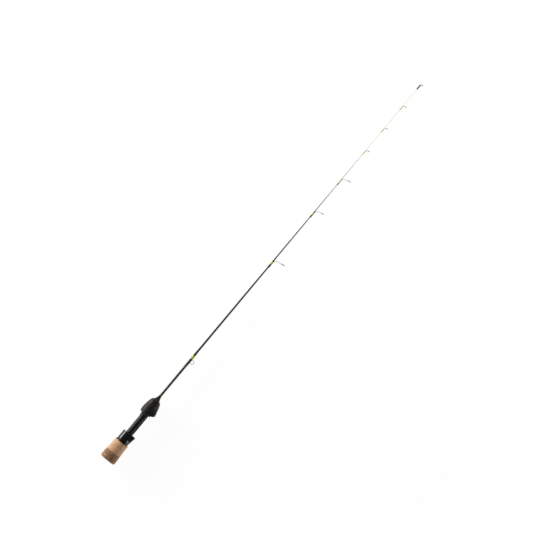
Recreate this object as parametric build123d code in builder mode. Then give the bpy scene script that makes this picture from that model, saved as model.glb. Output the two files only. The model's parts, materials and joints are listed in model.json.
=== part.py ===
"""Ice fishing rod with a cork-faced lock nut, a sliding rear hood and single-foot line guides.

Sizes are in millimetres. The rod lies on its side: +X runs from the butt to the tip, the reel bed and
the line guides face -Y, and +Z is up. The origin is the centre of the butt's flat end face.
"""
from build123d import *
import math
import os

# --- driving dimensions -------------------------------------------------------------------------

# Butt cap
butt_length = 13.7
butt_radius = 12.0
butt_front_radius = 11.4
butt_corner = 3.2
socket_start = 4.0

# Lock nut: cork sleeve on a threaded core, metal trim ring in front, flange held by the rear hood
cork_start = butt_length + 0.15
cork_end = 31.9
cork_back_radius = 11.35
cork_front_radius = 10.7
core_radius = 7.1
core_front_bore = 6.45
thread_end = 33.0
trim_end = 33.7
trim_radius = 10.2
flange_start = 36.15
flange_end = 37.65
flange_radius = 8.0

# Seat tube: thread crest behind, barrel between the hoods, bed for the reel's foot in front
tube_end = 108.4
tube_radius = 5.2
tube_bore = 3.4
bed_start = 43.2
bed_end = 99.0
bed_half_width = 3.0
bed_depth = 5.6
running_gap = 0.06
loose_gap = 0.1

# Sliding rear hood and the ring that couples it to the nut
coupling_start = 34.0
coupling_radius = 9.15
hood_start = 35.9
hood_end = 48.6
hood_rim_rounding = 0.9
counterbore_end = 37.9
# Rear hood sections: x, top radius, lip depth, lip corner radius, lip half spread
hood_sections = [
    (35.9, 9.4, 9.45, 3.9, 1.6),
    (42.25, 9.4, 10.5, 3.9, 2.9),
    (48.6, 9.4, 11.6, 3.9, 4.0),
]
rear_pocket_start = 39.0
rear_pocket_depths = (8.75, 10.6)
pocket_half_width = 6.5
pocket_corner = 3.0

# Front hood, its collar and its insert
collar_start = 77.0
collar_end = 85.5
collar_channel = 6.6
channel_depth = 10.0
collar_back_radius = 5.5
# Flare of the collar: (x, radius)
collar_flare = [(80.8, 5.9), (83.0, 6.65), (84.4, 8.4)]
mouth_x = 84.0
front_pocket_end = 99.0
front_pocket_depths = (11.1, 8.7)
nose_end = 108.4
insert_inset = 0.3
insert_tail_start = 100.6
insert_tail_radius = 6.4
insert_back = 90.0
# Rounding of the insert's front end: (x, radius)
insert_edge = [(107.0, 7.3), (108.1, 6.6), (108.4, 5.6)]
hood_edge_radius = 14.0
hood_edge_centre = (89.7, -3.5)
# Rim of the front hood's mouth seen from the side: (x, y)
mouth_rim = [
    (83.7, 15.0), (84.3, -7.3), (86.0, -7.9), (86.6, -10.0), (88.0, -11.6), (90.4, -13.0), (91.0, -15.0),
]
nose_clear = 15.0
# Nose sections: x, top radius, lip depth, lip corner radius, lip half spread
nose_sections = [
    (83.0, 9.15, 12.6, 4.2, 3.6),
    (90.4, 9.85, 12.7, 4.4, 3.3),
    (95.0, 9.8, 11.3, 4.6, 2.6),
    (99.5, 9.4, 10.1, 4.8, 1.6),
    (104.0, 8.5, 9.0, 5.0, 1.0),
    (108.4, 6.5, 6.6, 5.0, 0.5),
]

# Nose cone, label sleeve and trim wraps
cone_base_radius = 5.2
cone_middle = (112.0, 3.15)
cone_end = 117.2
cone_tip_radius = 1.95
label_start = 122.6
label_end = 167.6
label_radius = 1.86
trim_wrap_radius = 1.88
trim_line_radius = 1.98
trim_line_width = 1.1
trim_line_margin = 0.3

# Hook keeper, a U of wire with two feet under a thread wrap
keeper_x = 181.0
keeper_loop_radius = 2.62
keeper_bottom = 6.6
keeper_wire = 0.33
keeper_bend = 0.6
keeper_foot = 3.9
keeper_foot_drop = 1.62
keeper_wrap_start = 172.4
keeper_wrap_taper = 190.0
keeper_wrap_end = 199.0
keeper_wrap_radius = 1.87
keeper_cover = 0.12
band_start = 184.5
band_end = 190.1
band_radius = 2.12

# Blank: (x, radius) where it is round, then (x, half thickness, half width) where it flattens
blank_round = [(8, 1.72), (117, 1.66), (199, 1.52), (286, 1.32), (328, 1.17), (370, 0.96), (426, 0.75), (461, 0.55)]
blank_flat = [(461, 0.545, 0.555), (482, 0.45, 0.62), (510, 0.36, 0.72), (538, 0.27, 0.82), (560, 0.22, 0.88)]
tip_flat = [(560, 0.22, 0.88), (681, 0.15, 0.6)]
rear_arbor_span = (12.0, 26.0)
front_arbor_span = (86.0, 106.0)

# Line guides: wrap span, trim band span or None, ring x, drop below the axis, outer radius, bore radius, wire radius
ring_lean = 10.0
foot_thickness = 0.4
foot_half_width = 0.5
wrap_cover = 0.2
trim_cover = 0.2
insert_proud = 0.12
rim_share = 0.45
leg_angle = 38
strut_angle = 62
guides = {
    "guide_1": ((350.6, 363.7), (356.7, 361.8), 367.3, 13.0, 4.3, 2.9, 0.38),
    "guide_2": ((442.1, 453.7), (446.7, 451.9), 457.7, 10.0, 2.95, 1.95, 0.32),
    "guide_3": ((501.3, 511.8), (505.5, 510.7), 516.5, 9.75, 2.9, 1.9, 0.32),
    "guide_4": ((556.4, 564.8), None, 566.2, 3.5, 2.55, 1.7, 0.26),
    "guide_5": ((597.2, 605.2), None, 606.8, 3.15, 2.25, 1.45, 0.26),
    "guide_6": ((637.6, 645.4), None, 647.0, 3.05, 2.25, 1.45, 0.26),
}

# Tip-top: closed tube over the tip, with the last ring on two struts
tip_tube_start = 676.3
tip_tube_end = 684.3
tip_tube_radius = 0.88
tip_tube_bore = 0.7
tip_tube_wall = 0.8
tip_ring = (685.3, 2.0, 2.0, 1.25, 0.26)


# --- shared shapes ------------------------------------------------------------------------------


def outline(*corners):
    """Closed sketch of corners: (x, radius) to be revolved, or (x, y) to be extruded sideways."""
    with BuildSketch() as shape:
        with BuildLine():
            Polyline(*corners, close=True)
        make_face()
    return shape.sketch


def collar_outline(start, end, inner, outer):
    """Outline of a straight ring about the rod's axis."""
    return outline((start, inner), (start, outer), (end, outer), (end, inner))


def hood_section(x, top, depth, corner, spread):
    """Section of a hood square to the rod: the hull of its round top and the two corners of its lip."""
    with BuildSketch(Plane.YZ.offset(x)) as section:
        Circle(top)
        with Locations((corner - depth, spread), (corner - depth, -spread)):
            Circle(corner)
        make_hull()
    return section.sketch


def nose_form(inset):
    """Sections of the nose's outer form, drawn in by the inset."""
    return [
        hood_section(x, top - inset, depth - inset, corner, spread)
        for x, top, depth, corner, spread in nose_sections
    ]


def blank_half_sizes(x):
    """Half thickness and half width of the blank or the tip section at x."""
    stations = [(at, radius, radius) for at, radius in blank_round] + blank_flat[1:] + tip_flat[1:]
    for (x0, y0, z0), (x1, y1, z1) in zip(stations, stations[1:]):
        if x <= x1:
            share = (x - x0) / (x1 - x0)
            return y0 + (y1 - y0) * share, z0 + (z1 - z0) * share
    return stations[-1][1:]


def wrap_section(x, cover):
    """Section of a thread wrap at x: the hull round the blank and the guide's foot."""
    half_thickness, half_width = blank_half_sizes(x)
    side = max(half_width - half_thickness, 0.01)
    foot_corner = foot_thickness / 2
    foot_y = -half_thickness - foot_corner
    foot_z = foot_half_width - foot_corner
    with BuildSketch(Plane.YZ.offset(x)) as section:
        with Locations((0, side), (0, -side)):
            Circle(half_thickness + cover)
        with Locations((foot_y, foot_z), (foot_y, -foot_z)):
            Circle(foot_corner + cover)
        make_hull()
    return section.sketch


def ring_plane(x, drop):
    """Plane at a ring's centre, with its x across the rod and its y along the ring's leaning axis."""
    lean = math.radians(ring_lean)
    return Plane(origin=(x, -drop, 0), x_dir=(0, 0, 1), z_dir=(-math.sin(lean), math.cos(lean), 0))


def ring_section(plane, inner, outer, half_length):
    """Rectangle that a ring is revolved from."""
    with BuildSketch(plane) as section:
        with Locations(((inner + outer) / 2, 0)):
            Rectangle(outer - inner, 2 * half_length)
    return section.sketch


def leg_sketches(start, plane, radius, spread_angle, wire, bulge):
    """The two legs of a guide frame, each a (path, round section) pair from the foot to the ring."""
    legs = []
    for side in (1, -1):
        angle = math.radians(spread_angle)
        across = side * radius * math.sin(angle)
        end = plane.origin + plane.z_dir * (radius * math.cos(angle)) + plane.x_dir * across
        begin = Vector(start[0], start[1], side * start[2])
        middle = (begin + end) / 2 + Vector(bulge, 0.4 * bulge, 0)
        with BuildLine() as path:
            ThreePointArc(begin, middle, end)
        with BuildSketch(Plane(origin=path.line @ 0, z_dir=path.line % 0)) as section:
            Circle(wire)
        legs.append((path.line, section.sketch))
    return legs


def save(part, name):
    """Label a finished piece and write its STEP file."""
    part.label = name
    export_step(part, f"parts/{name}.step")


os.makedirs("parts", exist_ok=True)

# --- butt cap -----------------------------------------------------------------------------------

with BuildPart() as butt_cap:
    revolve(
        outline(
            (0, 0), (0, butt_radius), (butt_corner, butt_radius), (butt_length, butt_front_radius),
            (butt_length, tube_radius), (socket_start, tube_radius), (socket_start, 0),
        ),
        axis=Axis.X,
    )
    fillet(butt_cap.edges().filter_by(GeomType.CIRCLE).group_by(Axis.X)[0], radius=butt_corner - 0.05)
save(butt_cap.part, "butt_cap")

# --- lock nut -----------------------------------------------------------------------------------

with BuildPart() as nut_core:
    bore = tube_radius + running_gap
    revolve(
        outline(
            (cork_start, bore), (cork_start, core_radius), (flange_start, core_radius),
            (flange_start, flange_radius), (flange_end, flange_radius), (flange_end, core_front_bore),
            (thread_end, core_front_bore), (thread_end, bore),
        ),
        axis=Axis.X,
    )
save(nut_core.part, "nut_core")

with BuildPart() as cork_sleeve:
    revolve(
        outline(
            (cork_start, core_radius), (cork_start, cork_back_radius), (cork_end, cork_front_radius),
            (cork_end, core_radius),
        ),
        axis=Axis.X,
    )
save(cork_sleeve.part, "cork_sleeve")

with BuildPart() as trim_ring:
    revolve(collar_outline(cork_end, trim_end, core_radius, trim_radius), axis=Axis.X)
    fillet(trim_ring.edges().filter_by(GeomType.CIRCLE).sort_by(SortBy.RADIUS)[-2:], radius=0.45)
save(trim_ring.part, "trim_ring")

# --- seat tube ----------------------------------------------------------------------------------

with BuildPart() as seat_tube:
    revolve(collar_outline(socket_start, tube_end, 0, tube_radius), axis=Axis.X)
    with BuildSketch(Plane.YZ.offset(bed_start)):
        with Locations((-bed_depth / 2, 0)):
            Rectangle(bed_depth, 2 * bed_half_width)
    extrude(amount=bed_end - bed_start)
    revolve(collar_outline(socket_start, tube_end, 0, tube_bore), axis=Axis.X, mode=Mode.SUBTRACT)
save(seat_tube.part, "seat_tube")

# --- sliding rear hood and its coupling ring ----------------------------------------------------

with BuildPart() as rear_pocket:
    extrude(
        outline(
            (rear_pocket_start, -bed_depth), (rear_pocket_start, -rear_pocket_depths[0]),
            (hood_end + 2, -rear_pocket_depths[1]), (hood_end + 2, -bed_depth),
        ),
        amount=pocket_half_width, both=True,
    )
    fillet(rear_pocket.faces().sort_by(Axis.Y)[0].edges().filter_by(Axis.Z, reverse=True), radius=pocket_corner)

with BuildPart() as rear_hood:
    loft([hood_section(*section) for section in hood_sections])
    fillet(rear_hood.faces().sort_by(Axis.X)[-1].edges(), radius=hood_rim_rounding)
    revolve(collar_outline(hood_start, hood_end, 0, tube_radius + running_gap), axis=Axis.X, mode=Mode.SUBTRACT)
    revolve(
        collar_outline(hood_start, counterbore_end, 0, flange_radius + loose_gap), axis=Axis.X, mode=Mode.SUBTRACT
    )
    with BuildSketch(Plane.YZ.offset(counterbore_end)):
        with Locations((-(bed_depth + running_gap) / 2, 0)):
            Rectangle(bed_depth + running_gap, 2 * (bed_half_width + running_gap))
    extrude(amount=hood_end - counterbore_end, mode=Mode.SUBTRACT)
    add(rear_pocket.part, mode=Mode.SUBTRACT)
save(rear_hood.part, "rear_hood")

with BuildPart() as coupling_ring:
    revolve(collar_outline(coupling_start, hood_start, core_radius + loose_gap, coupling_radius), axis=Axis.X)
    rear_rims = coupling_ring.edges().filter_by(GeomType.CIRCLE).group_by(Axis.X)[0]
    fillet(rear_rims.sort_by(SortBy.RADIUS)[-1], radius=0.35)
save(coupling_ring.part, "coupling_ring")

# --- nose: insert, front hood, collar and cone --------------------------------------------------

with BuildPart() as hood_edge:
    with BuildSketch(Plane.XY.offset(-hood_edge_radius)):
        with Locations(hood_edge_centre):
            Circle(hood_edge_radius)
    extrude(amount=2 * hood_edge_radius)

with BuildPart() as rounded_end:
    with BuildSketch():
        with BuildLine():
            Polyline(
                insert_edge[2], (nose_end, 0), (insert_back, 0), (insert_back, nose_clear),
                (insert_edge[0][0], nose_clear), insert_edge[0],
            )
            ThreePointArc(*insert_edge)
        make_face()
    revolve(axis=Axis.X)

with BuildPart() as nose_insert:
    loft(nose_form(insert_inset))
    add(rounded_end.part, mode=Mode.INTERSECT)
    add(hood_edge.part, mode=Mode.SUBTRACT)
    revolve(collar_outline(insert_tail_start, insert_edge[0][0], 0, insert_tail_radius), axis=Axis.X)
    revolve(collar_outline(insert_back, nose_end, 0, tube_radius), axis=Axis.X, mode=Mode.SUBTRACT)
save(nose_insert.part, "nose_insert")

with BuildPart() as front_pocket:
    extrude(
        outline(
            (mouth_x - 2, -bed_depth), (mouth_x - 2, -front_pocket_depths[0]),
            (front_pocket_end, -front_pocket_depths[1]), (front_pocket_end, -bed_depth),
        ),
        amount=pocket_half_width, both=True,
    )
    fillet(front_pocket.faces().sort_by(Axis.Y)[0].edges().filter_by(Axis.Z, reverse=True), radius=pocket_corner)

with BuildPart() as front_hood:
    loft(nose_form(0))
    add(hood_edge.part, mode=Mode.INTERSECT)
    extrude(
        outline((collar_start, nose_clear), *mouth_rim, (collar_start, -nose_clear)),
        amount=nose_clear, both=True, mode=Mode.SUBTRACT,
    )
    add(front_pocket.part, mode=Mode.SUBTRACT)
    add(seat_tube.part, mode=Mode.SUBTRACT)
    revolve(collar_outline(mouth_x - 2, nose_end, 0, tube_radius), axis=Axis.X, mode=Mode.SUBTRACT)
    add(nose_insert.part, mode=Mode.SUBTRACT)
save(front_hood.part, "front_hood")

with BuildPart() as nose_collar:
    with BuildSketch():
        with BuildLine():
            Polyline(
                collar_flare[2], (collar_end, collar_flare[2][1]), (collar_end, tube_radius),
                (collar_start, tube_radius), (collar_start, collar_back_radius), collar_flare[0],
            )
            ThreePointArc(*collar_flare)
        make_face()
    revolve(axis=Axis.X)
    with BuildSketch(Plane.YZ.offset(collar_start)):
        with Locations((-bed_depth - channel_depth / 2, 0)):
            Rectangle(channel_depth, 2 * collar_channel)
    extrude(amount=collar_end - collar_start, mode=Mode.SUBTRACT)
    add(seat_tube.part, mode=Mode.SUBTRACT)
    add(front_hood.part, mode=Mode.SUBTRACT)
save(nose_collar.part, "nose_collar")

# --- blank, tip section and bushings ------------------------------------------------------------

with BuildPart() as blank:
    revolve(outline((blank_round[0][0], 0), *blank_round, (blank_round[-1][0], 0)), axis=Axis.X)
    for x, half_thickness, half_width in blank_flat:
        with BuildSketch(Plane.YZ.offset(x)):
            Ellipse(half_thickness, half_width)
    loft(ruled=True)
save(blank.part, "blank")

with BuildPart() as tip_section:
    for x, half_thickness, half_width in tip_flat:
        with BuildSketch(Plane.YZ.offset(x)):
            RectangleRounded(2 * half_thickness, 2 * half_width, 0.8 * half_thickness)
    loft(ruled=True)
save(tip_section.part, "tip_section")

for name, (start, end) in {"rear_arbor": rear_arbor_span, "front_arbor": front_arbor_span}.items():
    with BuildPart() as arbor:
        revolve(collar_outline(start, end, 0, tube_bore), axis=Axis.X)
        add(blank.part, mode=Mode.SUBTRACT)
    save(arbor.part, name)

with BuildPart() as nose_cone:
    with BuildSketch():
        with BuildLine():
            Polyline((cone_end, cone_tip_radius), (cone_end, 0), (nose_end, 0), (nose_end, cone_base_radius))
            ThreePointArc((nose_end, cone_base_radius), cone_middle, (cone_end, cone_tip_radius))
        make_face()
    revolve(axis=Axis.X)
    add(blank.part, mode=Mode.SUBTRACT)
save(nose_cone.part, "nose_cone")

# --- label sleeve, trim wraps and their lines ---------------------------------------------------

with BuildPart() as label_sleeve:
    revolve(collar_outline(label_start, label_end, 0, label_radius), axis=Axis.X)
    add(blank.part, mode=Mode.SUBTRACT)
save(label_sleeve.part, "label_sleeve")

for number, (start, end) in {1: (cone_end, label_start), 2: (label_end, keeper_wrap_start)}.items():
    with BuildPart() as trim_wrap:
        revolve(collar_outline(start, end, 0, trim_wrap_radius), axis=Axis.X)
        add(blank.part, mode=Mode.SUBTRACT)
    save(trim_wrap.part, f"trim_wrap_{number}")

    with BuildPart() as trim_lines:
        for line_start in (start + trim_line_margin, end - trim_line_margin - trim_line_width):
            line_end = line_start + trim_line_width
            revolve(collar_outline(line_start, line_end, trim_wrap_radius, trim_line_radius), axis=Axis.X)
    save(trim_lines.part, f"trim_lines_{number}")

# --- hook keeper, its wrap and its band ---------------------------------------------------------

with BuildPart() as hook_keeper:
    rear_leg = keeper_x - keeper_loop_radius
    front_leg = keeper_x + keeper_loop_radius
    loop_bend = keeper_loop_radius - 0.02
    with BuildLine() as keeper_path:
        FilletPolyline(
            (rear_leg - keeper_foot, -keeper_foot_drop), (rear_leg, -keeper_foot_drop), (rear_leg, -keeper_bottom),
            (front_leg, -keeper_bottom), (front_leg, -keeper_foot_drop), (front_leg + keeper_foot, -keeper_foot_drop),
            radius=[keeper_bend, loop_bend, loop_bend, keeper_bend],
        )
    with BuildSketch(Plane(origin=keeper_path.line @ 0, z_dir=keeper_path.line % 0)):
        Circle(keeper_wire)
    sweep()
    add(blank.part, mode=Mode.SUBTRACT)
save(hook_keeper.part, "hook_keeper")

with BuildPart() as keeper_wrap:
    revolve(
        outline(
            (keeper_wrap_start, 0), (keeper_wrap_start, keeper_wrap_radius), (keeper_wrap_taper, keeper_wrap_radius),
            (keeper_wrap_end, blank_half_sizes(keeper_wrap_end)[0] + 0.06), (keeper_wrap_end, 0),
        ),
        axis=Axis.X,
    )
    hump_start = rear_leg - keeper_foot - 0.6
    with BuildSketch(Plane.YZ.offset(hump_start)):
        Circle(keeper_wrap_radius)
        with Locations((-keeper_foot_drop, 0)):
            Circle(keeper_wire + keeper_cover)
        make_hull()
    extrude(amount=band_start - hump_start)
    add(blank.part, mode=Mode.SUBTRACT)
    add(hook_keeper.part, mode=Mode.SUBTRACT)
save(keeper_wrap.part, "keeper_wrap")

with BuildPart() as keeper_band:
    revolve(collar_outline(band_start, band_end, keeper_wrap_radius - 0.05, band_radius), axis=Axis.X)
    add(hook_keeper.part, mode=Mode.SUBTRACT)
    add(keeper_wrap.part, mode=Mode.SUBTRACT)
save(keeper_band.part, "keeper_band")

# --- line guides --------------------------------------------------------------------------------

for name, (wrap_span, trim_span, ring_x, drop, outer, bore_radius, wire) in guides.items():
    wrap_start, wrap_end = wrap_span
    plane = ring_plane(ring_x, drop)
    band_inner = outer - 2 * wire
    foot_y = -blank_half_sizes(wrap_start)[0] - foot_thickness / 2

    with BuildPart() as frame:
        with Locations(((wrap_start + wrap_end) / 2 + 0.7, foot_y, 0)):
            Box(wrap_end - wrap_start - 0.8, foot_thickness, 2 * foot_half_width)
        revolve(ring_section(plane, band_inner, outer, wire), axis=Axis(plane.origin, plane.y_dir))
        fillet(frame.edges().filter_by(GeomType.CIRCLE).sort_by(SortBy.RADIUS)[-2:], radius=rim_share * wire)
        leg_start = (wrap_end + 0.2, foot_y, foot_half_width - wire / 2)
        leg_bulge = 0.07 * (drop - outer)
        for path, section in leg_sketches(leg_start, plane, outer - 0.6 * wire, leg_angle, 0.7 * wire, leg_bulge):
            sweep(section, path=path)
    save(frame.part, f"{name}_frame")

    with BuildPart() as ring:
        half_length = wire + insert_proud
        revolve(ring_section(plane, bore_radius, band_inner, half_length), axis=Axis(plane.origin, plane.y_dir))
        bore_rims = ring.edges().filter_by(GeomType.CIRCLE).sort_by(SortBy.RADIUS)[:2]
        fillet(bore_rims, radius=min(0.7 * half_length, 0.8 * (band_inner - bore_radius)))
    save(ring.part, f"{name}_ring")

    with BuildPart() as wrap:
        extrude(wrap_section(wrap_start, wrap_cover), amount=wrap_end - wrap_start)
        add(blank.part, mode=Mode.SUBTRACT)
        add(tip_section.part, mode=Mode.SUBTRACT)
        add(frame.part, mode=Mode.SUBTRACT)
    save(wrap.part, f"{name}_wrap")

    if trim_span:
        band_span_start, band_span_end = trim_span
        with BuildPart() as band:
            extrude(wrap_section(band_span_start, wrap_cover + trim_cover), amount=band_span_end - band_span_start)
            add(wrap.part, mode=Mode.SUBTRACT)
            add(blank.part, mode=Mode.SUBTRACT)
            add(frame.part, mode=Mode.SUBTRACT)
        save(band.part, f"{name}_band")

# --- tip-top ------------------------------------------------------------------------------------

with BuildPart() as tip_tube:
    revolve(collar_outline(tip_tube_start, tip_tube_end, 0, tip_tube_radius), axis=Axis.X)
    fillet(tip_tube.edges().filter_by(GeomType.CIRCLE).group_by(Axis.X)[-1], radius=0.4)
    revolve(
        collar_outline(tip_tube_start, tip_tube_end - tip_tube_wall, 0, tip_tube_bore),
        axis=Axis.X, mode=Mode.SUBTRACT,
    )
save(tip_tube.part, "tip_tube")

tip_ring_x, tip_drop, tip_outer, tip_bore, tip_wire = tip_ring
tip_plane = ring_plane(tip_ring_x, tip_drop)
with BuildPart() as tip_frame:
    revolve(
        ring_section(tip_plane, tip_outer - 2 * tip_wire, tip_outer, tip_wire),
        axis=Axis(tip_plane.origin, tip_plane.y_dir),
    )
    fillet(tip_frame.edges().filter_by(GeomType.CIRCLE).sort_by(SortBy.RADIUS)[-2:], radius=rim_share * tip_wire)
    strut_start = (tip_tube_end - 2.2, -0.75, 0.62)
    for path, section in leg_sketches(strut_start, tip_plane, tip_outer - 0.6 * tip_wire, strut_angle, 0.18, 0.08):
        sweep(section, path=path)
    add(tip_tube.part, mode=Mode.SUBTRACT)
save(tip_frame.part, "tip_frame")

with BuildPart() as tip_ring_insert:
    half_length = tip_wire + insert_proud
    revolve(
        ring_section(tip_plane, tip_bore, tip_outer - 2 * tip_wire, half_length),
        axis=Axis(tip_plane.origin, tip_plane.y_dir),
    )
    fillet(tip_ring_insert.edges().filter_by(GeomType.CIRCLE).sort_by(SortBy.RADIUS)[:2], radius=0.15)
save(tip_ring_insert.part, "tip_ring")
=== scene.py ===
"""Ice fishing rod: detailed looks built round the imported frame. Metres, +X to the tip, +Z up."""
import json
import math
import random

import bmesh
import bpy
import numpy as np
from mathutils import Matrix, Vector


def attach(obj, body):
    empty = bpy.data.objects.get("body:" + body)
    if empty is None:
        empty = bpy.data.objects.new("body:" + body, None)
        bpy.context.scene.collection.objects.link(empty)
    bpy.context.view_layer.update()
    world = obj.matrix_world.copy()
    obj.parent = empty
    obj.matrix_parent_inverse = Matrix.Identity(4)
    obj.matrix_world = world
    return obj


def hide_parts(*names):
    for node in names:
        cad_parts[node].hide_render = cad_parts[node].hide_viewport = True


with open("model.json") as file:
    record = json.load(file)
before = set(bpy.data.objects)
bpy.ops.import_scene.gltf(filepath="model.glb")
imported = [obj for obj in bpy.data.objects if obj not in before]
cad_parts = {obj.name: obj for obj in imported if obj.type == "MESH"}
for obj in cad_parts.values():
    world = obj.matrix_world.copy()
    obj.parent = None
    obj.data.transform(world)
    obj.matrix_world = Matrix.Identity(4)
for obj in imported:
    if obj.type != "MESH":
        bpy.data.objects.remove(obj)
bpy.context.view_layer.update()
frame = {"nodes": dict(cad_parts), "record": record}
nodes = frame["nodes"]
scene = bpy.context.scene
MM = 0.001
PER_METRE = 1000.0
SEED = 4711
# Radians that Blender's wave texture turns through in one unit at scale 1
WAVE_TURN = 20.0
# Part of the noise's 0 to 1 that it mostly stays in
NOISE_LOW, NOISE_HIGH = 0.3, 0.7


# --- materials ----------------------------------------------------------------------------------


class Look:
    """A Principled material, with a short way to add nodes that work in millimetres on the object."""

    def __init__(self, name, color, rough, metal=0.0, coat=0.0, coat_rough=0.05, specular=0.5, sheen=0.0):
        self.material = bpy.data.materials.new(name)
        self.material.use_nodes = True
        self.tree = self.material.node_tree
        self.bsdf = self.tree.nodes["Principled BSDF"]
        settings = {
            "Base Color": (*color, 1.0), "Roughness": rough, "Metallic": metal, "Coat Weight": coat,
            "Coat Roughness": coat_rough, "Specular IOR Level": specular, "Sheen Weight": sheen,
        }
        for socket, value in settings.items():
            self.bsdf.inputs[socket].default_value = value
        self.place = self.node("TexCoord").outputs["Object"]
        self.bumped = None

    def node(self, kind, sockets=(), **settings):
        """Add a node. Sockets is {name or index: value or output}, and settings are its own properties."""
        made = self.tree.nodes.new("ShaderNode" + kind)
        for key, value in settings.items():
            setattr(made, key, value)
        for key, value in dict(sockets).items():
            if isinstance(value, bpy.types.NodeSocket):
                self.tree.links.new(value, made.inputs[key])
            else:
                made.inputs[key].default_value = value
        return made

    def scaled(self, scale=(1, 1, 1)):
        """Object position in millimetres, stretched by the scale."""
        per_mm = tuple(PER_METRE * s for s in scale)
        return self.node("Mapping", {"Vector": self.place, "Scale": per_mm}).outputs["Vector"]

    def noise(self, scale, detail, stretch=(1, 1, 1)):
        """Noise from 0 to 1, with its scale in waves a millimetre."""
        sockets = {"Vector": self.scaled(stretch), "Scale": scale, "Detail": detail, "Roughness": 0.55}
        return self.node("TexNoise", sockets).outputs["Fac"]

    def cells(self, scale, feature="F1", output="Color"):
        sockets = {"Vector": self.scaled(), "Scale": scale}
        return self.node("TexVoronoi", sockets, feature=feature).outputs[output]

    def ridges(self, pitch):
        """Waves along the rod, one every pitch millimetres."""
        sockets = {"Vector": self.scaled(), "Scale": math.tau / WAVE_TURN / pitch}
        return self.node("TexWave", sockets, bands_direction="X", wave_profile="SIN").outputs["Fac"]

    def ramp(self, value, stops):
        """Colour ramp of (position, colour) stops; a colour can be one grey number."""
        made = self.node("ValToRGB", {"Fac": value})
        elements = made.color_ramp.elements
        while len(elements) < len(stops):
            elements.new(0.5)
        for element, (position, color) in zip(elements, stops):
            element.position = position
            element.color = (color, color, color, 1.0) if isinstance(color, float) else (*color, 1.0)
        return made.outputs["Color"]

    def mix(self, share, first, second, mode="MIX"):
        made = self.node("Mix", data_type="RGBA", blend_type=mode)
        for index, value in ((0, share), (6, first), (7, second)):
            if isinstance(value, bpy.types.NodeSocket):
                self.tree.links.new(value, made.inputs[index])
            elif isinstance(value, float):
                made.inputs[index].default_value = value
            else:
                made.inputs[index].default_value = (*value, 1.0)
        return made.outputs[2]

    def attribute(self, name):
        return self.node("Attribute", attribute_name=name).outputs["Fac"]

    def color(self, output):
        self.tree.links.new(output, self.bsdf.inputs["Base Color"])

    def rough(self, value, low, high):
        """Roughness between low and high as the value crosses the noise's usual span."""
        sockets = {
            "Value": value, "From Min": NOISE_LOW, "From Max": NOISE_HIGH, "To Min": low, "To Max": high,
        }
        self.tree.links.new(self.node("MapRange", sockets).outputs["Result"], self.bsdf.inputs["Roughness"])

    def bump(self, value, depth_mm, coat=False):
        """Bump of a real depth. Each call adds to the last, and returns the look."""
        sockets = {"Height": value, "Distance": depth_mm * MM, "Strength": 1.0}
        if self.bumped is not None:
            sockets["Normal"] = self.bumped
        self.bumped = self.node("Bump", sockets).outputs["Normal"]
        self.tree.links.new(self.bumped, self.bsdf.inputs["Normal"])
        if coat:
            self.tree.links.new(self.bumped, self.bsdf.inputs["Coat Normal"])
        return self


def burl_cork():
    look = Look("burl_cork", (0.3, 0.19, 0.11), 0.82, specular=0.25)
    chips = look.node("SeparateColor", {"Color": look.cells(0.62)}).outputs["Red"]
    fine = look.node("SeparateColor", {"Color": look.cells(1.7)}).outputs["Green"]
    chip_tones = [(0.0, (0.19, 0.098, 0.052)), (0.35, (0.34, 0.19, 0.10)), (0.7, (0.45, 0.262, 0.15)),
                  (1.0, (0.57, 0.35, 0.212))]
    grain_tones = [(0.0, (0.23, 0.12, 0.066)), (0.5, (0.40, 0.232, 0.136)), (1.0, (0.54, 0.34, 0.21))]
    base = look.ramp(chips, chip_tones)
    grains = look.ramp(fine, grain_tones)
    mottled = look.mix(0.5, base, grains)
    clouds = look.ramp(look.noise(0.16, 5.0), [(NOISE_LOW, 0.62), (NOISE_HIGH, 1.22)])
    mottled = look.mix(1.0, mottled, clouds, "MULTIPLY")
    edges = look.cells(0.62, feature="DISTANCE_TO_EDGE", output="Distance")
    seams = look.ramp(edges, [(0.0, 0.62), (0.09, 1.0)])
    mottled = look.mix(0.8, mottled, seams, "MULTIPLY")
    # Darker with depth in each pit, down to near black: the cork's own dark pores, plus painted shade in the
    # hollow
    pits = look.attribute("pit")
    look.color(look.mix(look.ramp(pits, [(0.0, 0.0), (0.6, 0.9)]), mottled, (0.055, 0.03, 0.018)))
    look.bump(look.noise(3.2, 6.0), 0.05).bump(look.cells(1.7, output="Distance"), 0.05)
    return look.material


def light_cork():
    look = Look("light_cork", (0.6, 0.38, 0.22), 0.74, specular=0.25)
    bands = look.noise(0.30, 6.0, stretch=(2.4, 0.8, 0.8))
    band_tones = [(0.28, (0.59, 0.335, 0.182)), (0.5, (0.735, 0.447, 0.26)), (0.72, (0.84, 0.572, 0.37))]
    base = look.ramp(bands, band_tones)
    fine = look.ramp(look.noise(2.4, 5.0), [(NOISE_LOW, 0.82), (0.62, 1.04)])
    base = look.mix(1.0, base, fine, "MULTIPLY")
    flecks = look.ramp(look.noise(1.1, 3.0, stretch=(1.8, 0.7, 0.7)), [(0.62, 0.0), (0.72, 0.5)])
    base = look.mix(flecks, base, (0.36, 0.19, 0.10))
    # Darker with depth in each pit: the cork's own dark pores, plus painted shade in the hollow
    pits = look.attribute("pit")
    look.color(look.mix(look.ramp(pits, [(0.0, 0.0), (0.55, 0.92)]), base, (0.13, 0.065, 0.034)))
    look.bump(look.noise(3.6, 6.0), 0.035).bump(look.cells(1.3, output="Distance"), 0.03)
    return look.material


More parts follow.
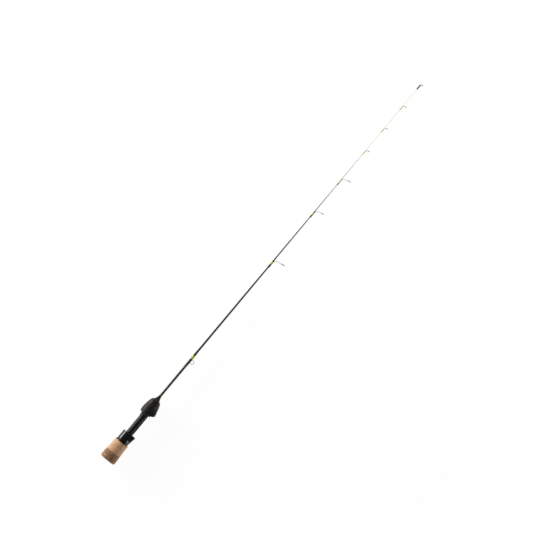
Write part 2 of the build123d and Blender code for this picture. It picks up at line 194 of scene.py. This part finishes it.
def moulded(name, color, low, high, grain_mm=0.012, grain_scale=2.6, **extra):
    """Moulded plastic with a fine grain, faint flow marks and small changes of gloss."""
    look = Look(name, color, (low + high) / 2, **extra)
    flow = look.noise(0.09, 4.0, stretch=(0.5, 1, 1))
    bright = tuple(c * 1.35 for c in color)
    look.color(look.ramp(flow, [(NOISE_LOW, color), (0.75, bright)]))
    look.rough(look.noise(0.7, 5.0), low, high)
    return look.bump(look.noise(grain_scale, 4.0), grain_mm).material


def thread(name, color, groove_shade):
    """Thread turns lying side by side under clear epoxy, with painted shade in the grooves between turns."""
    look = Look(name, color, 0.42, coat=0.5, coat_rough=0.05, specular=0.3)
    turns = look.ridges(0.2)
    # The colour darkens towards the groove between turns: painted shade, following the same waves as the
    # bump
    shade = look.mix(turns, groove_shade, color)
    uneven = look.ramp(look.noise(0.6, 3.0), [(NOISE_LOW, 0.8), (NOISE_HIGH, 1.08)])
    look.color(look.mix(1.0, shade, uneven, "MULTIPLY"))
    return look.bump(turns, 0.02).material


def blank_paint():
    """Black clear-coated graphite, with the faint spiral that its tape leaves."""
    look = Look("blank_paint", (0.008, 0.0065, 0.0065), 0.3, coat=0.2, coat_rough=0.08, specular=0.25)
    spiral = look.ridges(1.6)
    tones = [(NOISE_LOW, (0.005, 0.0042, 0.004)), (NOISE_HIGH, (0.011, 0.009, 0.0085))]
    look.color(look.ramp(look.noise(0.5, 4.0, stretch=(0.3, 1, 1)), tones))
    look.rough(look.noise(1.4, 4.0), 0.24, 0.36)
    return look.bump(spiral, 0.008, coat=True).material


def tip_paint():
    """Bright chartreuse paint, a little uneven, over the flat tip."""
    look = Look("tip_paint", (0.56, 0.78, 0.09), 0.32, coat=0.7, coat_rough=0.06)
    uneven = look.noise(0.35, 4.0, stretch=(0.25, 1, 1))
    look.color(look.ramp(uneven, [(NOISE_LOW, (0.47, 0.70, 0.06)), (NOISE_HIGH, (0.66, 0.86, 0.14))]))
    look.rough(look.noise(1.2, 3.0), 0.26, 0.4)
    return look.bump(look.noise(1.5, 3.0), 0.006).material


def turned_metal(name, color, low, high):
    """Metal with fine marks left by turning, drawing or polishing."""
    look = Look(name, color, (low + high) / 2, metal=1.0)
    marks = look.noise(3.0, 6.0, stretch=(6, 0.6, 0.6))
    duller = tuple(c * 0.72 for c in color)
    look.color(look.ramp(look.noise(0.8, 4.0), [(NOISE_LOW, duller), (NOISE_HIGH, color)]))
    look.rough(marks, low, high)
    return look.bump(marks, 0.004).material


def ceramic():
    look = Look("ring_ceramic", (0.03, 0.03, 0.034), 0.1, coat=0.6, coat_rough=0.03)
    tones = [(NOISE_LOW, (0.022, 0.022, 0.026)), (NOISE_HIGH, (0.05, 0.05, 0.056))]
    look.color(look.ramp(look.noise(2.0, 3.0), tones))
    look.rough(look.noise(4.0, 3.0), 0.07, 0.16)
    return look.material


def studio_floor():
    """Pale sweep, bright enough to leave only a soft trace of shadow."""
    look = Look("studio_floor", (0.15, 0.15, 0.15), 0.9, specular=0.0)
    look.color(look.ramp(look.noise(0.004, 3.0), [(NOISE_LOW, 0.147), (NOISE_HIGH, 0.153)]))
    look.bsdf.inputs["Emission Color"].default_value = (1.0, 1.0, 1.0, 1.0)
    look.bsdf.inputs["Emission Strength"].default_value = FLOOR_GLOW
    return look.material


looks = {
    "burl_cork": burl_cork(),
    "cork": light_cork(),
    "black_core": moulded("black_core", (0.028, 0.028, 0.03), 0.42, 0.56),
    "dark_metal": turned_metal("dark_metal", (0.05, 0.046, 0.043), 0.24, 0.4),
    "satin_black": moulded("satin_black", (0.009, 0.0077, 0.0073), 0.34, 0.46, specular=0.32),
    "gloss_black": moulded(
        "gloss_black", (0.005, 0.0044, 0.0043), 0.16, 0.25, grain_mm=0.003, grain_scale=0.8, coat=0.3,
    ),
    "soft_touch": moulded(
        "soft_touch", (0.010, 0.0084, 0.008), 0.48, 0.6, grain_mm=0.02, specular=0.32, sheen=0.02,
    ),
    "collar_black": moulded("collar_black", (0.007, 0.006, 0.0058), 0.36, 0.48, specular=0.3),
    "arbor_foam": moulded("arbor_foam", (0.42, 0.42, 0.40), 0.8, 0.95, grain_mm=0.08, grain_scale=4.0),
    "blank_black": blank_paint(),
    "tip_chartreuse": tip_paint(),
    "label_black": moulded(
        "label_epoxy", (0.007, 0.006, 0.006), 0.2, 0.3, grain_mm=0.002, coat=0.5, coat_rough=0.04,
    ),
    # Each thread's second colour is painted shade for the grooves between its turns
    "thread_black": thread("thread_black", (0.012, 0.0105, 0.0105), (0.004, 0.0035, 0.0035)),
    "thread_green": thread("thread_green", (0.13, 0.34, 0.035), (0.04, 0.12, 0.012)),
    "thread_chartreuse": thread("thread_chartreuse", (0.56, 0.86, 0.035), (0.34, 0.58, 0.018)),
    "bright_wire": turned_metal("bright_wire", (0.38, 0.35, 0.31), 0.14, 0.26),
    "guide_wire": turned_metal("guide_wire", (0.17, 0.162, 0.162), 0.26, 0.42),
    "ring_insert": ceramic(),
    "tip_metal": turned_metal("tip_metal", (0.028, 0.026, 0.026), 0.26, 0.42),
}

slot_of = {part["node"]: part["material_slot"] for part in frame["record"]["subparts"]}
bodies = frame["record"]["behaviour"]["bodies"]
body_of = {node: body for body, members in bodies.items() for node in members}
for name, slot_name in slot_of.items():
    for material_slot in nodes[name].material_slots:
        material_slot.material = looks[slot_name]


# --- building in mesh code ----------------------------------------------------------------------


def piece(name, node, grid, closed=False, sharp=35.0, pits=None):
    """Mesh from a grid of rings (rows, points round, xyz in millimetres) that stands for a CAD node.

    Closed joins the last ring to the first, and otherwise both end rings are capped. Pits is how far
    each point lies in a pit, from 0 to 1.
    """
    rows, around = grid.shape[:2]
    corner = np.arange(rows * around).reshape(rows, around)
    if closed:
        corner = np.vstack([corner, corner[:1]])
    a, b = corner[:-1], corner[1:]
    quads = np.stack([a, np.roll(a, -1, 1), np.roll(b, -1, 1), b], axis=2).reshape(-1, 4)
    faces = quads.tolist()
    if not closed:
        faces.append(corner[0][::-1].tolist())
        faces.append(corner[-1].tolist())
    mesh = bpy.data.meshes.new(name)
    mesh.from_pydata((grid.reshape(-1, 3) * MM).tolist(), [], faces)
    form = bmesh.new()
    form.from_mesh(mesh)
    bmesh.ops.recalc_face_normals(form, faces=form.faces)
    form.to_mesh(mesh)
    form.free()
    mesh.shade_smooth()
    mesh.set_sharp_from_angle(angle=math.radians(sharp))
    if pits is not None:
        shares = mesh.attributes.new("pit", "FLOAT", "POINT").data
        shares.foreach_set("value", pits.astype(np.float32).ravel())
    made = bpy.data.objects.new(name, mesh)
    scene.collection.objects.link(made)
    mesh.materials.append(looks[slot_of[node]])
    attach(made, body_of[node])
    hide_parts(node)


def refine(profile, step):
    """Points along a profile, no further apart than the step."""
    fine = []
    for (x0, r0), (x1, r1) in zip(profile, profile[1:]):
        count = max(1, math.ceil(math.hypot(x1 - x0, r1 - r0) / step))
        fine += [(x0 + (x1 - x0) * i / count, r0 + (r1 - r0) * i / count) for i in range(count)]
    return fine + [profile[-1]]


def arc(centre, radius, start, end, count):
    """Points of an arc in a profile, from the start angle to the end angle in degrees."""
    turn = [math.radians(start + (end - start) * i / count) for i in range(count + 1)]
    return [(centre[0] + radius * math.cos(t), centre[1] + radius * math.sin(t)) for t in turn]


def angles(around):
    return np.arange(around) * math.tau / around


def lathe(profile, around, shape=None):
    """Rings of a turned form. Shape gives the distance that each point is moved out along its normal."""
    line = np.array(profile, float)
    turn = angles(around)
    along = np.gradient(line, axis=0)
    along /= np.linalg.norm(along, axis=1)[:, None] + 1e-12
    x, turn = np.meshgrid(line[:, 0], turn, indexing="ij")
    radius = np.repeat(line[:, 1:2], around, axis=1)
    moved = shape(x, radius, turn) if shape else np.zeros_like(x)
    x = x - along[:, 1:2] * moved
    radius = radius + along[:, 0:1] * moved
    return np.stack([x, radius * np.cos(turn), radius * np.sin(turn)], axis=2)


def scatter_pits(rng, span, around_mm, count, long, wide, deep):
    """Random pits on a turned face: (x, angle, half length round, half length along, depth)."""
    return [
        (rng.uniform(*span), rng.uniform(0, math.tau), rng.uniform(*long) / around_mm, rng.uniform(*wide),
         rng.uniform(*deep))
        for _ in range(count)
    ]


def pit_depth(pits, x, turn):
    """Depth of the pits at each point."""
    depth = np.zeros_like(x)
    for pit_x, pit_turn, round_half, along_half, deep in pits:
        off = np.abs((turn - pit_turn + math.pi) % math.tau - math.pi)
        inside = np.clip(1.0 - (off / round_half) ** 2 - ((x - pit_x) / along_half) ** 2, 0.0, None)
        depth = np.maximum(depth, deep * np.sqrt(inside))
    return depth


rng = random.Random(SEED)

# --- cork ---------------------------------------------------------------------------------------

BUTT_RADIUS, BUTT_LENGTH, BUTT_FRONT, BUTT_ROUND = 12.0, 13.7, 11.4, 3.15
TUBE_RADIUS, SOCKET_START = 5.2, 4.0
# Radius at which a turned end face stops short of the axis, and the break of the cork's front edge
AXIS_GAP, EDGE_BREAK = 0.3, 0.2
BUTT_AROUND, SLEEVE_AROUND = 360, 384
# Waviness of the sanded cork, and the dent that counts as a pit and the depth over which its colour darkens
# (dark pores plus painted shade)
SANDING, PIT_START, BUTT_PIT_FADE, SLEEVE_PIT_FADE = 0.02, 0.05, 0.12, 0.1
# A point this close to an end face counts as on it
ON_END = 0.1

butt_profile = (
    refine([(0.0, AXIS_GAP), (0.0, BUTT_RADIUS - BUTT_ROUND)], 0.25)
    + arc((BUTT_ROUND, BUTT_RADIUS - BUTT_ROUND), BUTT_ROUND, 180, 90, 20)[1:]
    + refine(
        [(3.3, BUTT_RADIUS), (BUTT_LENGTH - EDGE_BREAK, BUTT_FRONT), (BUTT_LENGTH, BUTT_FRONT - EDGE_BREAK)],
        0.2,
    )
    + refine([(BUTT_LENGTH, BUTT_FRONT - 2 * EDGE_BREAK), (BUTT_LENGTH, TUBE_RADIUS)], 0.8)
    + [(SOCKET_START, TUBE_RADIUS), (SOCKET_START, AXIS_GAP)]
)
butt_pits = scatter_pits(rng, (0.5, 13.2), 12.0, 90, (0.25, 0.75), (0.2, 0.5), (0.1, 0.3))
# Pits on the end face: (radius, angle, half size, depth)
end_pits = [
    (rng.uniform(0.5, 8.6), rng.uniform(0, math.tau), rng.uniform(0.2, 0.6), rng.uniform(0.1, 0.25))
    for _ in range(26)
]


def butt_shape(x, radius, turn):
    """Pits on the side and the end, and the slight waviness that sanding leaves."""
    depth = pit_depth(butt_pits, x, turn)
    depth[x < ON_END] = 0.0
    for pit_radius, pit_turn, half, deep in end_pits:
        gap = (radius * np.cos(turn) - pit_radius * math.cos(pit_turn)) ** 2
        gap += (radius * np.sin(turn) - pit_radius * math.sin(pit_turn)) ** 2
        dent = deep * np.sqrt(np.clip(1.0 - gap / half ** 2, 0.0, None))
        depth = np.maximum(depth, np.where(x < ON_END, dent, 0.0))
    wave = SANDING * np.sin(3 * turn + 0.7 * x) * (x > BUTT_ROUND)
    in_socket = (radius < TUBE_RADIUS + 0.6) & (x > 0.5)
    return np.where(in_socket | (x > BUTT_LENGTH - ON_END), 0.0, wave - SANDING - depth)


butt_grid = lathe(butt_profile, BUTT_AROUND, butt_shape)
butt_dents = np.linalg.norm(butt_grid - lathe(butt_profile, BUTT_AROUND), axis=2)
piece("butt_cork", "butt_cap", butt_grid, pits=np.clip((butt_dents - PIT_START) / BUTT_PIT_FADE, 0, 1))

CORK_START, CORK_END, CORK_BACK, CORK_FRONT, CORE_RADIUS = 13.85, 31.9, 11.35, 10.7, 7.1
SLEEVE_BREAK = 0.12
sleeve_profile = refine(
    [(CORK_START, CORK_BACK - SLEEVE_BREAK), (CORK_START + SLEEVE_BREAK, CORK_BACK),
     (CORK_END - SLEEVE_BREAK, CORK_FRONT), (CORK_END, CORK_FRONT - SLEEVE_BREAK)],
    0.2,
) + [(CORK_END, CORE_RADIUS), (CORK_START, CORE_RADIUS)]
sleeve_pits = scatter_pits(rng, (14.6, 31.2), 11.0, 46, (0.4, 1.9), (0.1, 0.32), (0.12, 0.34))
sleeve_pits += scatter_pits(rng, (14.4, 31.4), 11.0, 60, (0.12, 0.4), (0.08, 0.2), (0.06, 0.16))


def sleeve_shape(x, radius, turn):
    """Long and small pits on the grip's outside, and its waviness."""
    depth = pit_depth(sleeve_pits, x, turn)
    wave = SANDING * np.sin(2 * turn + 0.5 * x) - SANDING
    return np.where(radius < CORK_FRONT - 0.2, 0.0, wave - depth)


sleeve_grid = lathe(sleeve_profile, SLEEVE_AROUND, sleeve_shape)
sleeve_dents = np.linalg.norm(sleeve_grid - lathe(sleeve_profile, SLEEVE_AROUND), axis=2)
sleeve_share = np.clip((sleeve_dents - PIT_START) / SLEEVE_PIT_FADE, 0, 1)
piece("grip_cork", "cork_sleeve", sleeve_grid, closed=True, pits=sleeve_share)

# --- seat tube: thread behind, barrel and bed in front -----------------------------------------

THREAD_START, THREAD_END, THREAD_PITCH, THREAD_DEPTH = 13.7, 41.5, 2.0, 0.6
# Length over which the thread fades at an end, and the step along it
THREAD_FADE, THREAD_STEP = 1.5, 0.11
BED_START, BED_END, BED_HALF, BED_DEPTH, TUBE_END, TUBE_BORE = 43.2, 99.0, 3.0, 5.6, 108.4, 3.4
BED_EDGE = 0.02
TUBE_AROUND = 144


def thread_shape(x, radius, turn):
    """Right-hand thread with flat crests and rounded roots, fading at both ends."""
    phase = (x / THREAD_PITCH - turn / math.tau) % 1.0
    groove = np.clip(1.7 * (0.5 + 0.5 * np.cos(math.tau * phase)) - 0.35, 0.0, 1.0)
    fade = np.clip((x - THREAD_START) / THREAD_FADE, 0, 1)
    fade = fade * np.clip((THREAD_END - x) / THREAD_FADE, 0, 1)
    return np.where(radius > TUBE_RADIUS - 0.1, -THREAD_DEPTH * groove * fade, 0.0)


tube_profile = (
    [(SOCKET_START, TUBE_BORE), (SOCKET_START, TUBE_RADIUS)]
    + refine([(THREAD_START - 0.5, TUBE_RADIUS), (THREAD_END + 0.5, TUBE_RADIUS)], THREAD_STEP)
    + [(BED_START - BED_EDGE, TUBE_RADIUS), (BED_START, TUBE_RADIUS)]
    + refine([(BED_START + 0.3, TUBE_RADIUS), (BED_END, TUBE_RADIUS)], 2.0)
    + [(BED_END + BED_EDGE, TUBE_RADIUS), (TUBE_END, TUBE_RADIUS), (TUBE_END, TUBE_BORE)]
)
tube_grid = lathe(tube_profile, TUBE_AROUND, thread_shape)
# The bed is a flat bar under the barrel, with square sides and ends
in_bed = (
    (tube_grid[:, :, 0] >= BED_START - 0.01) & (tube_grid[:, :, 0] <= BED_END + 0.01)
    & (np.abs(tube_grid[:, :, 2]) <= BED_HALF) & (tube_grid[:, :, 1] < -TUBE_BORE)
)
tube_grid[:, :, 1][in_bed] = -BED_DEPTH
side_y = -math.sqrt(TUBE_RADIUS ** 2 - BED_HALF ** 2)
bed_rows = np.flatnonzero(in_bed.any(axis=1))
bed_columns = np.flatnonzero(in_bed.any(axis=0))
for column, beside in ((bed_columns[0], bed_columns[0] - 1), (bed_columns[-1], bed_columns[-1] + 1)):
    side_z = math.copysign(BED_HALF, tube_grid[bed_rows[0], column, 2])
    tube_grid[bed_rows, column, 2] = side_z
    tube_grid[bed_rows, beside, 1] = side_y
    tube_grid[bed_rows, beside, 2] = side_z
piece("seat_barrel", "seat_tube", tube_grid, closed=True, sharp=30.0)

# --- blank and tip ------------------------------------------------------------------------------

# (x, half thickness, half width)
BLANK = [
    (8, 1.72, 1.72), (117, 1.66, 1.66), (199, 1.52, 1.52), (286, 1.32, 1.32), (328, 1.17, 1.17),
    (370, 0.96, 0.96), (426, 0.75, 0.75), (461, 0.545, 0.555), (482, 0.45, 0.62), (510, 0.36, 0.72),
    (538, 0.27, 0.82), (560, 0.22, 0.88),
]
TIP_END = (681, 0.15, 0.6)
BLANK_RINGS, TIP_RINGS, BLANK_AROUND = 277, 122, 48
TIP_SQUARENESS = 0.55


def half_sizes(x):
    """Half thickness and half width of the blank or tip at x."""
    line = np.array([*BLANK, TIP_END])
    return np.interp(x, line[:, 0], line[:, 1]), np.interp(x, line[:, 0], line[:, 2])


def oval_rings(start, end, count, squareness=0.0):
    """Rings of an oval that changes along x; squareness turns it into a rounded rectangle."""
    stations = np.linspace(start, end, count)
    turn = angles(BLANK_AROUND)
    power = 1.0 - squareness
    y = np.sign(np.cos(turn)) * np.abs(np.cos(turn)) ** power
    z = np.sign(np.sin(turn)) * np.abs(np.sin(turn)) ** power
    thick, wide = half_sizes(stations)
    x = np.repeat(stations[:, None], BLANK_AROUND, axis=1)
    return np.stack([x, thick[:, None] * y, wide[:, None] * z], axis=2)


piece("graphite_blank", "blank", oval_rings(BLANK[0][0], BLANK[-1][0], BLANK_RINGS))
piece("flat_tip", "tip_section", oval_rings(BLANK[-1][0], TIP_END[0], TIP_RINGS, TIP_SQUARENESS))

# --- thread wraps under epoxy -------------------------------------------------------------------

# Thickness and half width of a guide's foot, and how far into the wrap it reaches its full size
FOOT_THICK, FOOT_HALF, FOOT_RAMP = 0.4, 0.5, 1.1
# A band's foot is at its full size this far before the band starts
BAND_LEAD = 1.0
# Thickness of thread and epoxy, and the length over which they run out at an end
WRAP_COVER, WRAP_SLOPE, BAND_COVER, BAND_SLOPE = 0.2, 0.9, 0.4, 0.3
# Share of the cover that is left at the very end
END_SHARE = 0.12
WRAP_AROUND, SLOPE_RINGS, MIDDLE_RINGS = 72, 9, 30


def hull_ring(x, cover, foot_share, foot_y):
    """Outline at x of thread drawn tight round the blank and the guide's foot."""
    thick, wide = half_sizes(x)
    turn = angles(WRAP_AROUND)
    ny, nz = np.cos(turn), np.sin(turn)
    reach = np.sqrt((thick * ny) ** 2 + (wide * nz) ** 2)
    points = np.stack([thick ** 2 * ny / reach, wide ** 2 * nz / reach], axis=1)
    low = foot_y - FOOT_THICK / 2
    foot = np.stack([np.where(ny < 0, low * foot_share, 0.0), np.sign(nz) * FOOT_HALF * foot_share], axis=1)
    foot_reach = foot[:, 0] * ny + foot[:, 1] * nz
    points = np.where((foot_reach > reach)[:, None], foot, points)
    points = points + cover * np.stack([ny, nz], axis=1)
    return np.column_stack([np.full(WRAP_AROUND, x), points])


def epoxy_cover(x, start, end, full, slope):
    """Thickness of thread and epoxy at x, running out smoothly at both ends."""
    edge = np.clip(min(x - start, end - x) / slope, 0.0, 1.0)
    return full * (END_SHARE + (1 - END_SHARE) * math.sin(edge * math.pi / 2))


def wrap(name, node, span, foot_start, foot_y, cover, slope):
    """Thread wrap over the span; the guide's foot under it reaches its full size at foot_start."""
    start, end = span
    stations = np.concatenate([
        np.linspace(start, start + slope, SLOPE_RINGS)[:-1],
        np.linspace(start + slope, end - slope, MIDDLE_RINGS),
        np.linspace(end - slope, end, SLOPE_RINGS)[1:],
    ])
    rings = []
    for x in stations:
        share = float(np.clip((x - start) / (foot_start - start), 0.0, 1.0))
        rings.append(hull_ring(x, epoxy_cover(x, start, end, cover, slope), share, foot_y))
    piece(name, node, np.stack(rings), sharp=60.0)


# Name: wrap's start and end, and the bright band's, or None
GUIDES = {
    "guide_1": ((350.6, 363.7), (356.7, 361.8)),
    "guide_2": ((442.1, 453.7), (446.7, 451.9)),
    "guide_3": ((501.3, 511.8), (505.5, 510.7)),
    "guide_4": ((556.4, 564.8), None),
    "guide_5": ((597.2, 605.2), None),
    "guide_6": ((637.6, 645.4), None),
}
for name, (span, band) in GUIDES.items():
    foot_y = -half_sizes(span[0])[0] - FOOT_THICK / 2
    foot_start = span[0] + FOOT_RAMP
    wrap(f"{name}_thread", f"{name}_wrap", span, foot_start, foot_y, WRAP_COVER, WRAP_SLOPE)
    if band:
        foot_start = band[0] - BAND_LEAD
        wrap(f"{name}_bright_thread", f"{name}_band", band, foot_start, foot_y, BAND_COVER, BAND_SLOPE)

# --- studio -------------------------------------------------------------------------------------

MIDDLE = Vector((0.34, 0.0, 0.0))
CENTRE = Vector((0.3508, 0.0004, 0.0))
HEIGHT, LENS, SENSOR, FAR = 8.322, 400.0, 36.0, 50.0
CAMERA_TURN = -50.1
# The floor touches the underside of the butt
FLOOR_Z, FLOOR_SIZE, FLOOR_GLOW = -0.01205, 30.0, 0.93
WORLD_STRENGTH = 0.08
WHITE = (1.0, 1.0, 1.0)
# Name, place, width and height, power, colour
SOFTBOXES = [
    ("key", (0.20, 1.75, 0.42), (1.6, 0.6), 34.0, (1.0, 0.955, 0.925)),
    ("fill", (0.30, -1.8, 0.36), (1.6, 0.5), 10.0, (1.0, 0.94, 0.90)),
    ("tip_side", (1.9, 0.2, 1.0), (0.8, 0.8), 5.0, WHITE),
    ("butt_side", (-1.4, 0.3, 0.9), (0.8, 0.8), 5.0, WHITE),
]

bpy.ops.mesh.primitive_plane_add(size=FLOOR_SIZE, location=(MIDDLE.x, MIDDLE.y, FLOOR_Z))
floor = bpy.context.object
floor.name = "floor"
floor.data.materials.append(studio_floor())

for name, place, (width, height), power, color in SOFTBOXES:
    light = bpy.data.lights.new(name, "AREA")
    light.shape = "RECTANGLE"
    light.size, light.size_y = width, height
    light.energy = power
    light.color = color
    lamp = bpy.data.objects.new(name, light)
    scene.collection.objects.link(lamp)
    lamp.location = place
    lamp.rotation_euler = (MIDDLE - Vector(place)).to_track_quat("-Z", "Y").to_euler()

world = bpy.data.worlds.new("studio")
scene.world = world
world.use_nodes = True
background = world.node_tree.nodes["Background"]
background.inputs["Color"].default_value = (*WHITE, 1.0)
background.inputs["Strength"].default_value = WORLD_STRENGTH

camera_data = bpy.data.cameras.new("camera")
camera_data.lens = LENS
camera_data.sensor_width = SENSOR
camera_data.clip_end = FAR
camera = bpy.data.objects.new("camera", camera_data)
scene.collection.objects.link(camera)
camera.location = CENTRE + Vector((0.0, 0.0, HEIGHT))
camera.rotation_euler = (0.0, 0.0, math.radians(CAMERA_TURN))
scene.camera = camera
scene.view_settings.view_transform = "Standard"
